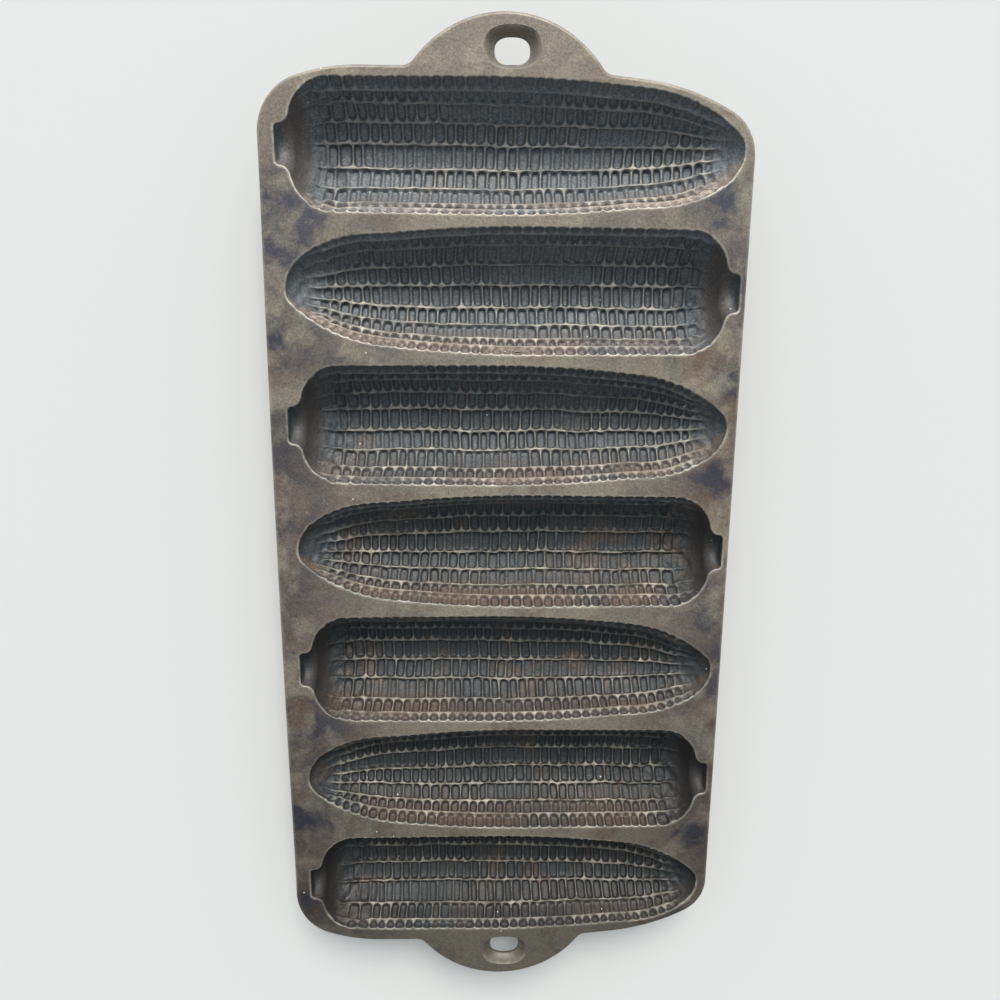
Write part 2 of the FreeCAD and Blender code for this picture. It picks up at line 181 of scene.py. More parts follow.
# %% The ear's outline
def arc(centre, radius, start, end, step=0.1):
    """Points along an arc, angles in degrees."""
    count = max(2, math.ceil(abs(math.radians(end - start)) * radius / step))
    turn = np.radians(np.linspace(start, end, count + 1))
    return np.column_stack([centre[0] + radius * np.cos(turn), centre[1] + radius * np.sin(turn)])


def crossing(centre_a, radius_a, centre_b, radius_b, side):
    """Where two circles cross, on the left (1) or right (-1) of the way from a to b."""
    a, b = np.array(centre_a), np.array(centre_b)
    gap = np.linalg.norm(b - a)
    along = (radius_a**2 - radius_b**2 + gap**2) / (2 * gap)
    way = (b - a) / gap
    return a + along * way + side * math.sqrt(radius_a**2 - along**2) * np.array([-way[1], way[0]])


def bearing(start, end):
    """The direction from start to end, in degrees."""
    return math.degrees(math.atan2(end[1] - start[1], end[0] - start[0]))


STUB_REACH, STUB_RADIUS, STUB_CORNER = 71.4, 5.9, 1.2
SHOULDER_X, SHOULDER_RADIUS = -54.7, 12.5
BELLY_X, BELLY_RADIUS, BELLY_RISE = -10.0, 19.15, 0.4
FLANK_RADIUS, TAPER_X = 420.0, 40.0
NOSE_REACH, NOSE_RADIUS = 70.2, 5.2


def taper_arc(flank_centre, flank_radius, joint_x, nose_centre, nose_radius):
    """The arc that leaves the flank at joint_x and closes on the nose: centre, radius, turn."""
    turn = math.asin((joint_x - flank_centre[0]) / flank_radius)
    joint = np.array([joint_x, flank_centre[1] + flank_radius * math.cos(turn)])
    inward = np.array([-math.sin(turn), -math.cos(turn)])
    reach = np.array(nose_centre) - joint
    radius = (reach @ reach - nose_radius**2) / (2 * (reach @ inward - nose_radius))
    return joint + radius * inward, radius, turn


def ear_line(wall=0.0, ends=0.0, hollow=3.4):
    """Half the ear's outline from the stub's end to the tip, as (x, radius) points."""
    end_x, stub_r = -STUB_REACH - ends, STUB_RADIUS + wall
    belly_r, shoulder_r = BELLY_RADIUS + wall, SHOULDER_RADIUS + wall
    shoulder = (SHOULDER_X, belly_r - BELLY_RISE - shoulder_r)
    blend_y = stub_r + hollow
    blend_x = SHOULDER_X - math.sqrt((shoulder_r + hollow) ** 2 - (blend_y - shoulder[1]) ** 2)
    meet = bearing((blend_x, blend_y), shoulder)
    rise = math.atan2(BELLY_RISE, BELLY_X - SHOULDER_X)
    flank_r = FLANK_RADIUS + wall
    flank = (BELLY_X + flank_r * math.sin(rise), belly_r - flank_r * math.cos(rise))
    nose_r = NOSE_RADIUS + wall
    nose = (NOSE_REACH + ends - nose_r, 0.0)
    taper, taper_r, turn = taper_arc(flank, flank_r, TAPER_X, nose, nose_r)
    closing = bearing(taper, nose)
    corner = STUB_CORNER + ends / 2
    pieces = [
        [(end_x, 0.0), (end_x, stub_r - corner)],
        arc((end_x + corner, stub_r - corner), corner, 180.0, 90.0),
        arc((blend_x, blend_y), hollow, 270.0, 360.0 + meet),
        arc(shoulder, shoulder_r, 180.0 + meet, 90.0 + math.degrees(rise)),
        arc(flank, flank_r, 90.0 + math.degrees(rise), 90.0 - math.degrees(turn), 0.5),
        arc(taper, taper_r, 90.0 - math.degrees(turn), closing),
        arc(nose, nose_r, closing, 0.0),
    ]
    return np.vstack(pieces)


def walked(line):
    """How far along the line each of its points lies."""
    return np.concatenate([[0.0], np.cumsum(np.linalg.norm(np.diff(line, axis=0), axis=1))])


def along(line, steps):
    """Walks the line: points at the wanted spacing, given as [(up to this x, step), ...]."""
    lengths = walked(line)
    places, reached = [0.0], 0.0
    for x_limit, step in steps:
        beyond = np.nonzero(line[:, 0] >= x_limit)[0]
        end = lengths[beyond[0]] if len(beyond) else lengths[-1]
        count = max(1, round((end - reached) / step))
        places += list(np.linspace(reached, end, count + 1)[1:])
        reached = end
    return np.column_stack([np.interp(places, lengths, line[:, axis]) for axis in (0, 1)])


def start_at(line, radius):
    """The line without its first and last stretch, where it lies nearer to the axis than this."""
    keep = np.nonzero(line[:, 1] > radius)[0]
    first = [np.interp(radius, line[:2, 1], line[:2, 0]), radius]
    inside = line[keep[0]:keep[-1] + 1]
    tail = line[keep[-1]:keep[-1] + 2]
    last = [np.interp(-radius, -tail[:, 1], tail[:, 0]), radius]
    return np.vstack([[first], inside, [last]])


def normals(line):
    """Unit normals on the left of an open line's direction, square to its ends at the axis."""
    step = np.gradient(line, axis=0)
    step /= np.linalg.norm(step, axis=1)[:, None]
    return np.column_stack([-step[:, 1], step[:, 0]])


BULGE, BULGE_SPAN, BULGE_END = 3.0, (36.0, 64.0), 3.5
# The bulge grows between these angles from the keel, the cavity's lowest line, where this much shows.
BULGE_TURN, KEEL_BULGE = (5.0, -75.0), 0.17


def with_bulge(line, share):
    """The line on the ear's fuller side (share 1), whose tip closes later than the other side's."""
    swell = BULGE * soft_step(*BULGE_SPAN, line[:, 0])
    swell *= np.sqrt(np.clip((line[-1, 0] - line[:, 0]) / BULGE_END, 0.0, 1.0))
    return np.column_stack([line[:, 0], line[:, 1] + share * swell])


def side_share(degrees):
    """How much of the bulge shows at this angle from the keel."""
    return KEEL_BULGE + (1 - KEEL_BULGE) * soft_step(*BULGE_TURN, degrees)


ear = ear_line()
print("ear outline:", len(ear), "points; reach", (ear[:, 0].max()).round(1), "mm")

# %% [markdown]
# ## Kernels
#
# The mould is the ear turned inside out: each kernel is a shallow pocket, and the gaps between the
# kernels stand up as thin ridges. Nine long rows follow the ear, and the rims cut the outer two. Each
# row is divided into kernels of slightly different lengths. Near the stem the kernels are large and
# vague, and near the tip they fade into rough iron.
#
# A pocket with rounded corners is easy to describe by its distance to its own edge. So the surface is a
# fine grid, whose lines follow the rows, and each of its vertices is then pushed out by the height that
# this distance gives. The ridges come out sharp, because grid lines run along them.

# %% Rows and the lines of the grid
# Where the ridges between rows run, in degrees round the axis from the keel, the cavity's lowest line.
RIDGE_ANGLES = np.array([-101.0, -79.0, -58.6, -32.9, -10.5, 13.8, 34.5, 55.0, 72.0, 89.0])
ROWS = range(len(RIDGE_ANGLES) - 1)
# Grid lines as shares of a row's width. They lie closest together near the ridges.
ROW_LINES = (
    0.0, 0.03, 0.06, 0.09, 0.125, 0.17, 0.25, 0.37,
    0.5, 0.63, 0.75, 0.83, 0.875, 0.91, 0.94, 0.97,
)
AXIS_LIFT, RIM_ROUND, LIP_WIDTH, RIM_CLEAR = 0.6, 0.5, 1.0, 1.0
RIM_DEPTH = AXIS_LIFT + RIM_ROUND
WALL_TOP = math.degrees(math.acos(RIM_DEPTH / BELLY_RADIUS)) - RIM_CLEAR
DECK_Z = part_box("deck_plate")[1].z / mm
UNDERSIDE_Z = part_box("deck_plate")[0].z / mm
AXIS_Z = DECK_Z + AXIS_LIFT
# Spacing of the stations along the cavity: (up to this x, step).
CAVITY_STEPS = [(-70, 0.6), (-62.5, 0.4), (66, 0.25), (80, 0.35)]
cavity_line = along(start_at(ear, RIM_DEPTH), CAVITY_STEPS)
cavity_normals = normals(cavity_line)
station_x, station_radius = cavity_line[:, :1], cavity_line[:, 1:]
station_run = walked(cavity_line)[:, None]
station_run = station_run - np.interp(0.0, station_x[:, 0], station_run[:, 0])
wall_lines = []
for row in ROWS:
    low, high = RIDGE_ANGLES[row:row + 2]
    for share in ROW_LINES:
        if abs(low + share * (high - low)) < WALL_TOP:
            wall_lines.append((low + share * (high - low), row, share))
wall_angles, wall_rows, wall_shares = np.array(wall_lines).T
print("stations:", len(cavity_line), " lines over the wall:", len(wall_angles))


# %% Where a row is divided
ROW_START, ROW_END, START_SPREAD = -63.5, 66.0, (-1.0, 0.5)
STEM_LENGTH, STEM_END, KERNEL_LENGTH, LENGTH_SHARES = 4.1, -54.0, 3.35, (0.84, 1.16)
# How strong dividers are, which runs of kernels are vague, and how kernels lean and vary in depth.
STRENGTHS, VAGUE_RUN, VAGUE_STEP, VAGUE_LEFT = (0.6, 1.0), 6.0, (-0.6, 0.05), 0.35
LEANS, DEPTHS = (-0.05, 0.05), (0.6, 1.25)


def kernel_cuts(rng):
    """Where one row is divided, along the wall."""
    cuts, place = [], ROW_START + rng.uniform(*START_SPREAD)
    while place < ROW_END:
        cuts.append(place)
        length = STEM_LENGTH if place < STEM_END else KERNEL_LENGTH
        place += length * rng.uniform(*LENGTH_SHARES)
    return np.array(cuts + [place])


def draw_kernels(rng):
    """One row's cuts, and for each kernel the strength of its divider, its lean and its depth."""
    cuts = kernel_cuts(rng)
    strength = rng.uniform(*STRENGTHS, len(cuts))
    vague = noise(rng, VAGUE_RUN, np.arange(len(cuts)), np.zeros(len(cuts)))
    strength *= VAGUE_LEFT + (1 - VAGUE_LEFT) * soft_step(*VAGUE_STEP, vague)
    lean = rng.uniform(*LEANS, len(cuts)) + rng.uniform(*LEANS)
    depth = rng.uniform(*DEPTHS, len(cuts))
    return cuts, strength, lean, depth


print("kernels in a row:", len(kernel_cuts(np.random.default_rng(1))) - 1)

# %% One row of kernels
RIDGE_HEIGHT, DIVIDER_HEIGHT, RIDGE_FOOT = 1.25, 0.80, (0.1, 1.1)
FLOOR_HEIGHT, POCKET_DEPTH, BOWL = 0.5, 0.3, (0.0, 1.3)
CORNER_RADIUS, RIDGE_HALF, DIVIDER_HALF = 1.5, 0.20, 0.13
# Ridge crowns are paler, partly as wear and partly as painted highlight.
POCKET_WALL, CROWN = (-0.04, 0.60), (-0.15, 0.10)
# Ridge feet are darkened, partly as grime and partly as painted shade.
FOOT_RISE, FOOT_FALL, FOOT_GRIME_AND_SHADE = (0.1, 0.4), (0.5, 1.0), 0.3
# Along the ear: where rows and kernels fade in and out, and how relief shrinks where the ear is slim.
rows_fade = between((-66.0, -57.0), (59.0, 67.0), station_x)
kernels_fade = between((-64.5, -57.0), (57.0, 67.0), station_x)
slim = np.clip(station_radius / 10.0, 0.45, 1.0)


def row_relief(row, kernels):
    """Height, wear and grime of one row, for stations by the row's own grid lines. Wear on the ridge
    crowns is partly painted highlight, and grime at their feet is partly painted shade.
    """
    cuts, strength, lean, depth = kernels
    which = np.clip(np.searchsorted(cuts, station_run[:, 0]) - 1, 0, len(cuts) - 2)[:, None]
    width = math.radians(RIDGE_ANGLES[row + 1] - RIDGE_ANGLES[row]) * station_radius
    across = (wall_shares[wall_rows == row] - 0.5) * width
    middle = (cuts[which] + cuts[which + 1]) / 2 + lean[which] * across
    from_middle = station_run - middle
    divider = np.where(from_middle > 0, strength[which + 1], strength[which]) * kernels_fade
    to_cut = (cuts[which + 1] - cuts[which]) / 2 - np.abs(from_middle) - DIVIDER_HALF
    to_ridge = width / 2 - np.abs(across) - RIDGE_HALF
    past = np.hypot(np.maximum(CORNER_RADIUS - to_cut, 0.0), np.maximum(CORNER_RADIUS - to_ridge, 0.0))
    inside = np.minimum(np.minimum(to_cut, to_ridge), CORNER_RADIUS - past)
    top = DIVIDER_HEIGHT + (RIDGE_HEIGHT - DIVIDER_HEIGHT) * (1 - soft_step(*RIDGE_FOOT, to_ridge))
    net = divider * top * (1 - soft_step(*POCKET_WALL, inside))
    net += (1 - divider) * RIDGE_HEIGHT * (1 - soft_step(*POCKET_WALL, to_ridge))
    bowl = soft_step(*BOWL, inside) * depth[which] * kernels_fade
    height = net * rows_fade * slim + FLOOR_HEIGHT * rows_fade - POCKET_DEPTH * bowl
    wear_and_highlight = divider * (1 - soft_step(*CROWN, inside)) + (1 - divider) * (1 - soft_step(*CROWN, to_ridge))
    grime_and_shade = between(FOOT_RISE, FOOT_FALL, inside) * (FOOT_GRIME_AND_SHADE + (1 - FOOT_GRIME_AND_SHADE) * divider)
    return height, wear_and_highlight * rows_fade, grime_and_shade * rows_fade


# %% The relief of a whole cavity
RIM_BLEND, POLE_SHARES = (70.0, 86.0), (0.0, 0.4, 0.8)
# Rough iron, as (height, size, where): knobs by the stem, pebbles by the tip, grit, and a slow unevenness.
knobs = between((-66.0, -62.0), (-56.0, -48.0), station_x)
pebbles = between((50.0, 60.0), (66.0, 69.5), station_x)
ROUGH_IRON = (
    (0.70, 3.0, knobs), (0.25, 1.1, knobs), (0.42, 1.8, pebbles), (0.09, 0.9, rows_fade), (0.10, 4.0, 1.0),
)


def relief(rng):
    """Height over the smooth cavity, wear with painted highlight and grime with painted shade, for
    stations by all the wall's lines.
    """
    rows = [row_relief(row, draw_kernels(rng)) for row in ROWS]
    height, wear_and_highlight, grime_and_shade = (np.hstack(parts) for parts in zip(*rows))
    spans = np.radians(wall_angles) * station_radius
    runs = np.broadcast_to(station_run, height.shape)
    for rise, size, where in ROUGH_IRON:
        height += rise * where * noise(rng, size, runs, spans)
    height -= FLOOR_HEIGHT * rows_fade * soft_step(*RIM_BLEND, np.abs(wall_angles))
    height[:3] *= np.array(POLE_SHARES)[:, None]
    height[-3:] *= np.array(POLE_SHARES[::-1])[:, None]
    return height, wear_and_highlight, grime_and_shade


heights = relief(np.random.default_rng(1))[0]
print("relief from", (heights.min()).round(2), "to", (heights.max()).round(2), "mm")

# %% [markdown]
# ## An ear cup
#
# A cup is cast as one wall: the cavity on top, a rounded rim, a narrow lip level with the deck, and the
# rounded back underneath. It is modelled as two sheets, each a flat grid wrapped round the ear's axis.
# The lip's edge is extruded down through the deck's thickness, and a flat fill joins it to the edge of
# the back, which leaves no opening.


# %% Wrapping a grid
MERGE_GAP = 0.0001


def sheet(bm, places, extra=None):
    """A grid of faces through an array of places, one row of vertices for each station."""
    stations, lines = places.shape[:2]
    made = bmesh.ops.create_grid(bm, x_segments=lines - 1, y_segments=stations - 1, size=1.0)["verts"]
    for vertex in made:
        line = round((vertex.co.x + 1) / 2 * (lines - 1))
        station = round((vertex.co.y + 1) / 2 * (stations - 1))
        vertex.co = places[station, line]
        for layer, values in (extra or {}).items():
            vertex[layer] = values[station, line]
    return made


def fill_flat(bm, edges, up):
    """Fills the flat space between loops of edges. The fill sweeps along Y, where the ears' long sides
    would give it many ties, so the mesh is turned for the moment."""
    turn = Matrix.Rotation(math.radians(90.0), 3, "Z")
    bmesh.ops.rotate(bm, verts=bm.verts, cent=(0.0, 0.0, 0.0), matrix=turn)
    bmesh.ops.triangle_fill(bm, use_beauty=True, edges=edges, normal=(0.0, 0.0, up))
    bmesh.ops.rotate(bm, verts=bm.verts, cent=(0.0, 0.0, 0.0), matrix=turn.inverted())


def turned_places(line, line_normals, angles, inward):
    """Points of the line turned to each angle about the axis, moved in along its normal."""
    swell = with_bulge(line, 1.0)[:, 1, None] - line[:, 1, None]
    x = line[:, 0, None] - inward * line_normals[:, 0, None]
    radius = line[:, 1, None] - inward * line_normals[:, 1, None] + swell * side_share(np.degrees(angles))
    return np.stack([x, radius * np.sin(angles), AXIS_Z - radius * np.cos(angles)], axis=-1)


def plan_edge(line, side, depth):
    """The outline on one side (1 or -1), cut by a level this far below the axis, and its outward normals."""
    line = with_bulge(line, side_share(90.0 * side))
    edge = np.column_stack([line[:, 0], np.sqrt(np.maximum(line[:, 1] ** 2 - depth**2, 0.0))])
    outward = normals(edge)
    outward[0], outward[-1] = (-1.0, 0.0), (1.0, 0.0)
    return edge, outward


def at_height(plan, z):
    """Places over the points of a plan, all at one height."""
    return np.column_stack([plan, np.full(len(plan), z)])


def side_ring(plan, side, z):
    """A ring on one side of an ear, none of whose points crosses the axis."""
    return at_height(np.column_stack([plan[:, 0], side * np.maximum(plan[:, 1], 0.0)]), z)


def joined(left, middle, right):
    """Values over a whole sheet: one side's rings from the outermost in, the wall, the other side's."""
    return np.concatenate([left[:, ::-1], middle, right], axis=1)


# %% [markdown]
# ## Use and age in a cavity
#
# Every vertex carries three values for the material: how rubbed the iron is, how thick its dark skin is
# and how much brown crust lies on it (brown). Ridges are painted brightest on the lower side, which
# faces the window: partly wear, partly painted highlight. The hollow round the stem and the feet of the
# ridges are darkened, partly as soot and grime, partly as painted shade. The lower wall, which also
# faces the window, has paler patches of crust, partly crust and partly painted light.

# %% Wear, grime and crust, with painted highlight, shade and light
# Ridges on the window's side are painted brighter: partly wear, partly painted highlight.
LIT_SIDE, SHADE_WEAR, SHADE_GRIME, WEAR_START = (-60.0, 10.0), 0.35, 0.5, (-64.0, -53.0)
# The hollow round the stem is darkened, partly as soot and partly as painted shade.
SHOULDER_GRIME_AND_SHADE, STUB_GRIME_AND_SHADE, SHOULDER_BROWN = 0.62, 0.4, 0.35
# The lower wall faces the window; its paler crust is partly crust and partly painted light.
LIT_LOW_WALL, CRUST_SIZE, CRUST_TURN, CRUST_STEP = (30.0, 75.0), 60.0, 40.0, (-0.8, 0.3)
shoulder = between((-71.0, -68.5), (-65.5, -62.0), station_x)
stub = 1 - soft_step(-70.0, -68.0, station_x)
station_grid = np.arange(len(cavity_line))[:, None] * np.ones(len(wall_angles))


def rub_soil_light_and_shade(wear_and_highlight, grime_and_shade, low_side):
    """Wear, partly painted highlight, is less in the shade and by the stem. Grime, partly painted
    shade, is less in the shade and more in the hollow round the stem.
    """
    lit = soft_step(*LIT_SIDE, low_side * wall_angles)
    wear_and_highlight = wear_and_highlight * (SHADE_WEAR + (1 - SHADE_WEAR) * lit) * soft_step(*WEAR_START, station_x)
    grime_and_shade = grime_and_shade * (SHADE_GRIME + (1 - SHADE_GRIME) * lit)
    return wear_and_highlight, np.maximum(grime_and_shade, np.maximum(SHOULDER_GRIME_AND_SHADE * shoulder, STUB_GRIME_AND_SHADE * stub))


def crust_and_painted_light(rng, low_side, browning_and_light):
    """Patches of paler crust over the lower wall, which faces the window, partly crust and partly
    painted light, and a little crust by the stem.
    """
    lit_low_wall = soft_step(*LIT_LOW_WALL, low_side * wall_angles) * np.ones_like(station_grid)
    patches = soft_step(*CRUST_STEP, noise(rng, CRUST_SIZE, station_grid, lit_low_wall * CRUST_TURN))
    return np.maximum(browning_and_light * lit_low_wall * patches, SHOULDER_BROWN * shoulder)


print("share of the stations by the stem:", round(float((shoulder > 0).mean()), 2))

# %% The cavity and its rims
RIM_ARC = (0.0, 22.5, 45.0, 67.5, 90.0)
# From the wall's top over the rounded rim to the lip's edge.
RIM_WEAR_AND_HIGHLIGHT = (0.1, 0.3, 0.9, 1.0, 0.5, 0.0)
RIM_SOOT = (0.6, 0.5, 0.3, 0.1, 0.0, 0.0)
# The lower rim faces the window and gets the full wear, the upper rim less: partly wear, partly painted
# highlight.
UPPER_RIM_WEAR_AND_HIGHLIGHT, CAVITY_SOOT = 0.6, 0.6
LOW_SCALLOP, UPPER_SCALLOP, SCALLOP_REACH, SCALLOP_LIMITS = 0.8, 0.45, 130.0, (-0.4, 0.9)
# How the rows wander, as (degrees, length in stations), and how unlike each other neighbouring rows are.
WANDERS, ROW_GAP, WANDER_END = ((1.3, 50.0), (1.0, 9.0)), 7.3, (55.0, 80.0)


def wandering(rng):
    """How far the rows stray round the axis, in degrees. They are straight by the rims."""
    rows = (wall_rows + 1) * ROW_GAP * np.ones_like(station_grid)
    wander = sum(degrees * noise(rng, length, station_grid, rows) for degrees, length in WANDERS)
    return wander * (1 - soft_step(*WANDER_END, np.abs(wall_angles)))


def rim_rings(side, scallop):
    """Rings over one side's rounded rim, where the outer kernels scallop it, and the lip's edge."""
    edge, outward = plan_edge(cavity_line, side, RIM_DEPTH)
    rings = []
    for angle in RIM_ARC:
        turn = math.radians(angle)
        shift = RIM_ROUND * (1 - math.cos(turn)) - scallop * (1 - angle / SCALLOP_REACH)
        z = DECK_Z - RIM_ROUND * (1 - math.sin(turn))
        rings.append(side_ring(edge + outward * shift[:, None], side, z))
    rings.append(at_height((edge + outward * LIP_WIDTH) * (1.0, side), DECK_Z))
    return np.stack(rings, axis=1)


def cavity_sheet(bm, layers, rng, low_side, browning_and_light):
    """Lip, rim, cavity wall with its kernels, rim and lip, from one side of the ear to the other."""
    height, wear_and_highlight, grime_and_shade = relief(rng)
    wear_and_highlight, grime_and_shade = rub_soil_light_and_shade(wear_and_highlight, grime_and_shade, low_side)
    limit = np.arccos(np.clip(RIM_DEPTH / station_radius, -1.0, 1.0))
    angles = np.radians(wall_angles + wandering(rng)) * (limit / limit.max())
    crust_and_light = crust_and_painted_light(rng, low_side, browning_and_light)
    rings, rim_wear_and_highlight = {}, {}
    for side, ridges in ((-1, height[:, 0]), (1, height[:, -1])):
        scallop = (LOW_SCALLOP if side == low_side else UPPER_SCALLOP) * np.clip(ridges, *SCALLOP_LIMITS)
        rings[side] = rim_rings(side, scallop)
        worn_and_lit = np.array(RIM_WEAR_AND_HIGHLIGHT) * (1.0 if side == low_side else UPPER_RIM_WEAR_AND_HIGHLIGHT)
        rim_wear_and_highlight[side] = np.tile(worn_and_lit, (len(ridges), 1))
    rim_soot = np.tile(RIM_SOOT, (len(cavity_line), 1))
    clean = np.zeros_like(rim_soot)
    wall = turned_places(cavity_line, cavity_normals, angles, height)
    places = joined(rings[-1], wall, rings[1])
    print("  cavity grid", places.shape[:2], "of which rim lines", 2 * len(RIM_WEAR_AND_HIGHLIGHT))
    return sheet(bm, places, {
        # Wear holds painted highlight on the window side, soot above the cavity's own level holds painted
        # shade at the ridge feet and round the stem, and brown holds painted light on the lower wall.
        layers["wear_and_highlight"]: joined(rim_wear_and_highlight[-1], wear_and_highlight, rim_wear_and_highlight[1]),
        layers["soot_and_shade"]: joined(rim_soot, CAVITY_SOOT + (1 - CAVITY_SOOT) * grime_and_shade, rim_soot),
        layers["brown"]: joined(clean, crust_and_light, clean),
    })


# %% The rounded back
CUP_WALL, END_WALL, BACK_HOLLOW = 3.45, 1.6, 3.0
BACK_DEPTH = AXIS_Z - UNDERSIDE_Z
BACK_STEPS = [(-60, 0.8), (50, 2.0), (80, 0.8)]
back_line = along(start_at(ear_line(CUP_WALL, END_WALL, BACK_HOLLOW), BACK_DEPTH), BACK_STEPS)
BACK_SHARES = np.linspace(-1.0, 1.0, 35)
# A flange lies this far out, but never past the deck's edge, and is tucked a hair into the deck.
FLANGE, LEAST_FLANGE, TUCK = np.array([0.35, 0.7, 1.1, 1.5]), 0.05, 0.03
CREASE_BAND, CREASE_PASSES, LEVEL_GAP = 2.6, 4, 0.005


def back_sheet(bm, deck_room):
    """The cup's back, with a narrow flange that melts into the deck's underside."""
    limit = np.arccos(np.clip(BACK_DEPTH / back_line[:, 1], -1.0, 1.0))
    angles = BACK_SHARES * limit[:, None]
    wall = turned_places(back_line, normals(back_line), angles, np.zeros_like(angles))
    rings = {}
    for side in (-1, 1):
        edge, outward = plan_edge(back_line, side, BACK_DEPTH)
        free = np.clip(deck_room(edge[:, 0], side * edge[:, 1]), LEAST_FLANGE, FLANGE[-1]) / FLANGE[-1]
        ring = [side_ring(edge + outward * (reach * free)[:, None], side, UNDERSIDE_Z) for reach in FLANGE]
        rings[side] = np.stack(ring, axis=1)
    made = sheet(bm, joined(rings[-1], wall, rings[1]))
    bmesh.ops.remove_doubles(bm, verts=made, dist=MERGE_GAP)
    made = [vertex for vertex in made if vertex.is_valid]
    crease = [v for v in made if v.co.z > UNDERSIDE_Z - CREASE_BAND and not v.is_boundary]
    for _ in range(CREASE_PASSES):
        bmesh.ops.smooth_vert(bm, verts=crease, factor=0.5, use_axis_x=True, use_axis_y=True, use_axis_z=True)
    for vertex in made:
        if vertex.co.z > UNDERSIDE_Z - LEVEL_GAP:
            vertex.co.z = UNDERSIDE_Z + TUCK
    return made


print("back:", len(back_line), "stations by", len(BACK_SHARES), "lines")


# %% [markdown]
# ## The deck's outline
#
# The deck is straight on the stem side, with slow round corners. On the other side it follows the end
# ears' tips. A round lug grows out of each end, with a hollow corner on both sides.

# %% The deck's outline
EAR_SHIFT, PITCH, END_LAND = 1.6, 42.0, 3.4
LEFT_EDGE, CORNER_TIGHT, CORNER_SLOW, CORNER_X = -75.2, 17.0, 60.0, -44.4
LUG_RADIUS, LUG_REACH, LUG_X, LUG_HOLLOW = 35.6, 163.2, -0.7, 4.5
DECK_NOSE_X, DECK_NOSE_DROP, DECK_NOSE_RADIUS = 60.8, 1.5, 14.5
# The casting isn't quite true: it is shifted, a little long, tapered, and bowed on the left.
CAST_SHIFT, CAST_STRETCH, CAST_TAPER = -1.0, 0.0042, 0.003
BOW, BOW_HALF = 0.008, 115.0
# Spacing of points on rounds, flank, hollows, tight corners and straight lines.
ROUND_STEP, FLANK_STEP, HOLLOW_STEP, TIGHT_STEP, STRAIGHT_STEP = 1.2, 4.0, 0.6, 1.0, 6.0
LUG_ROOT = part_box("upper_lug")[0].y / mm
END_EAR_Y = 3 * PITCH
DECK_TOP = END_EAR_Y + BELLY_RADIUS + END_LAND


def deck_line():
    """The upper half of the deck and its lug, from the middle of the right side round to the left."""
    nose, nose_r = (DECK_NOSE_X, END_EAR_Y - DECK_NOSE_DROP), DECK_NOSE_RADIUS
    flank_r = FLANK_RADIUS + END_LAND
    flank = (EAR_SHIFT + BELLY_X, DECK_TOP - flank_r)
    taper, taper_r, turn = taper_arc(flank, flank_r, EAR_SHIFT + TAPER_X, nose, nose_r)
    lug = (LUG_X, LUG_REACH - LUG_RADIUS)
    right = crossing(lug, LUG_RADIUS + LUG_HOLLOW, flank, flank_r + LUG_HOLLOW, 1)
    left_y = DECK_TOP + LUG_HOLLOW
    left = (LUG_X - math.sqrt((LUG_RADIUS + LUG_HOLLOW) ** 2 - (left_y - lug[1]) ** 2), left_y)
    slow = (CORNER_X, DECK_TOP - CORNER_SLOW)
    tight_x = LEFT_EDGE + CORNER_TIGHT
    tight = (tight_x, slow[1] + math.sqrt((CORNER_SLOW - CORNER_TIGHT) ** 2 - (tight_x - slow[0]) ** 2))
    ease = bearing(slow, tight)
    return np.vstack([
        arc(nose, nose_r, 0.0, bearing(nose, taper) + 180.0, ROUND_STEP),
        arc(taper, taper_r, bearing(taper, nose), 90.0 - math.degrees(turn), ROUND_STEP)[1:],
        arc(flank, flank_r, 90.0 - math.degrees(turn), bearing(flank, right), FLANK_STEP)[1:],
        arc(right, LUG_HOLLOW, bearing(right, flank), bearing(right, lug), HOLLOW_STEP)[1:],
        arc(lug, LUG_RADIUS, bearing(lug, right), bearing(lug, left), ROUND_STEP)[1:],
        arc(left, LUG_HOLLOW, bearing(left, lug), -90.0, HOLLOW_STEP)[1:],
        arc(slow, CORNER_SLOW, 90.0, ease, ROUND_STEP),
        arc(tight, CORNER_TIGHT, ease, 180.0, TIGHT_STEP)[1:],
    ])


def as_cast(line):
    """The outline as the casting has it."""
    x, y = line[:, 0], line[:, 1]
    bow = np.where(x < 0, BOW * np.clip(1 - (y / BOW_HALF) ** 2, 0.0, 1.0), 0.0)
    wide = 1 - CAST_TAPER * y / END_EAR_Y + bow
    return np.column_stack([x * wide, y + CAST_SHIFT + CAST_STRETCH * y])


def spread(line, gap):
    """Adds points along the straight stretches of a closed line."""
    points = []
    for here, there in zip(line, np.roll(line, -1, axis=0)):
        count = max(1, math.ceil(np.linalg.norm(there - here) / gap))
        points += [here + (there - here) * i / count for i in range(count)]
    return np.array(points)


upper_half = deck_line()
outline = as_cast(spread(np.vstack([upper_half, upper_half[::-1] * (1.0, -1.0)]), STRAIGHT_STEP))
print("deck outline:", len(outline), "points, spans", (np.ptp(outline, axis=0)).round(1), "mm")


def edge_room(x, y):
    """How far points of the plan lie inside the deck's outline."""
    start = outline
    way = np.roll(outline, -1, axis=0) - start
    points = np.column_stack([x, y])[:, None, :]
    share = np.clip(((points - start) * way).sum(-1) / (way**2).sum(-1), 0.0, 1.0)
    gaps = np.linalg.norm(points - start - share[..., None] * way, axis=-1)
    return gaps.min(axis=1)


# %% [markdown]
# ## Seven ears
#
# Every second ear is turned round, so that the row of ears packs closely. All seven come from the same
# kind of mould but no two are alike, so each gets its own seed.


# %% Finish a mesh
SHARP_DEGREES = 38.0


